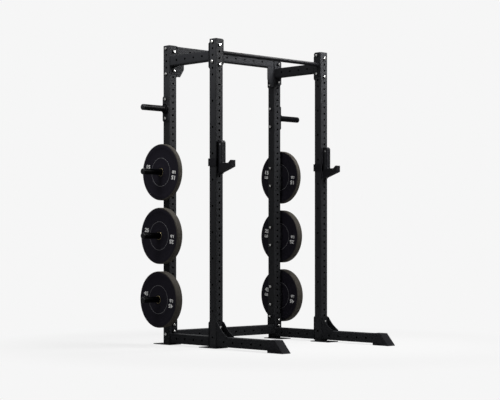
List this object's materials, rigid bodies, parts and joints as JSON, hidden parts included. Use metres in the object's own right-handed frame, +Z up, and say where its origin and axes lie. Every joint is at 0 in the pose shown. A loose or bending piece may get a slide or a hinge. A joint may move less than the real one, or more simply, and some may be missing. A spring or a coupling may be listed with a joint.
{
  "type": "half rack",
  "caption": "Bolted half rack of square steel tube with bar cups, a pull-up bar, and rear storage pegs that carry rubber bumper plates.",
  "frame": {"origin": "on the floor under the middle of the bounding box", "axes": "+Z up, -Y towards the front legs and bar cups, +X to the right when seen from the front"},
  "size_m": [1.7536, 1.548, 2.398],
  "materials": {
    "powder_coat_uprights": "black textured powder coat",
    "powder_coat_beams": "black textured powder coat",
    "powder_coat_bar": "black powder coat over knurled steel",
    "powder_coat_cups": "black textured powder coat",
    "powder_coat_plates": "black textured powder coat",
    "peg_steel": "black satin coat",
    "cap_plastic": "matt",
    "liner_plastic": "matt",
    "foot_rubber": "matt",
    "bumper_rubber": "matt, crumbed",
    "hub_brass": "satin",
    "bolt_zinc": "bright zinc plating",
    "mark_paint": "matt white"
  },
  "bodies": {
    "frame": {"upright_front_left": "powder_coat_uprights", "top_cap_front_left": "cap_plastic", "floor_plate_front_left": "powder_coat_plates", "upright_rear_left": "powder_coat_uprights", "top_cap_rear_left": "cap_plastic", "floor_plate_rear_left": "powder_coat_plates", "top_beam_left": "powder_coat_beams", "base_section_left": "powder_coat_beams", "front_leg_left": "powder_coat_beams", "foot_cap_left": "foot_rubber", "storage_peg_left_1": "peg_steel", "peg_cap_left_1": "cap_plastic", "storage_peg_left_2": "peg_steel", "peg_cap_left_2": "cap_plastic", "storage_peg_left_3": "peg_steel", "peg_cap_left_3": "cap_plastic", "storage_peg_left_4": "peg_steel", "peg_cap_left_4": "cap_plastic", "upright_front_right": "powder_coat_uprights", "top_cap_front_right": "cap_plastic", "floor_plate_front_right": "powder_coat_plates", "upright_rear_right": "powder_coat_uprights", "top_cap_rear_right": "cap_plastic", "floor_plate_rear_right": "powder_coat_plates", "top_beam_right": "powder_coat_beams", "base_section_right": "powder_coat_beams", "front_leg_right": "powder_coat_beams", "foot_cap_right": "foot_rubber", "storage_peg_right_1": "peg_steel", "peg_cap_right_1": "cap_plastic", "storage_peg_right_2": "peg_steel", "peg_cap_right_2": "cap_plastic", "storage_peg_right_3": "peg_steel", "peg_cap_right_3": "cap_plastic", "storage_peg_right_4": "peg_steel", "peg_cap_right_4": "cap_plastic", "cross_member_top": "powder_coat_beams", "cross_member_bottom": "powder_coat_beams", "pull_up_bar": "powder_coat_bar"},
    "plate_15_left": {"bumper_plate_15_left": "bumper_rubber", "plate_hub_15_left": "hub_brass"},
    "plate_25_left": {"bumper_plate_25_left": "bumper_rubber", "plate_hub_25_left": "hub_brass"},
    "plate_45_left": {"bumper_plate_45_left": "bumper_rubber", "plate_hub_45_left": "hub_brass"},
    "cup_left": {"bar_cup_left": "powder_coat_cups", "bar_cup_left_liner_outer": "liner_plastic", "bar_cup_left_liner_inner": "liner_plastic"},
    "plate_15_right": {"bumper_plate_15_right": "bumper_rubber", "plate_hub_15_right": "hub_brass"},
    "plate_25_right": {"bumper_plate_25_right": "bumper_rubber", "plate_hub_25_right": "hub_brass"},
    "plate_45_right": {"bumper_plate_45_right": "bumper_rubber", "plate_hub_45_right": "hub_brass"},
    "cup_right": {"bar_cup_right": "powder_coat_cups", "bar_cup_right_liner_outer": "liner_plastic", "bar_cup_right_liner_inner": "liner_plastic"}
  },
  "joints": [
    {"name": "plate_15_left_slide", "type": "slide", "parent": "frame", "child": "plate_15_left", "axis": [-1, 0, 0], "range_m": [0, 0.189]},
    {"name": "plate_25_left_slide", "type": "slide", "parent": "frame", "child": "plate_25_left", "axis": [-1, 0, 0], "range_m": [0, 0.172]},
    {"name": "plate_45_left_slide", "type": "slide", "parent": "frame", "child": "plate_45_left", "axis": [-1, 0, 0], "range_m": [0, 0.163]},
    {"name": "cup_left_slide", "type": "slide", "parent": "frame", "child": "cup_left", "axis": [0, -1, 0], "range_m": [0, 0.095]},
    {"name": "plate_15_right_slide", "type": "slide", "parent": "frame", "child": "plate_15_right", "axis": [1, 0, 0], "range_m": [0, 0.189]},
    {"name": "plate_25_right_slide", "type": "slide", "parent": "frame", "child": "plate_25_right", "axis": [1, 0, 0], "range_m": [0, 0.172]},
    {"name": "plate_45_right_slide", "type": "slide", "parent": "frame", "child": "plate_45_right", "axis": [1, 0, 0], "range_m": [0, 0.163]},
    {"name": "cup_right_slide", "type": "slide", "parent": "frame", "child": "cup_right", "axis": [0, -1, 0], "range_m": [0, 0.095]}
  ]
}
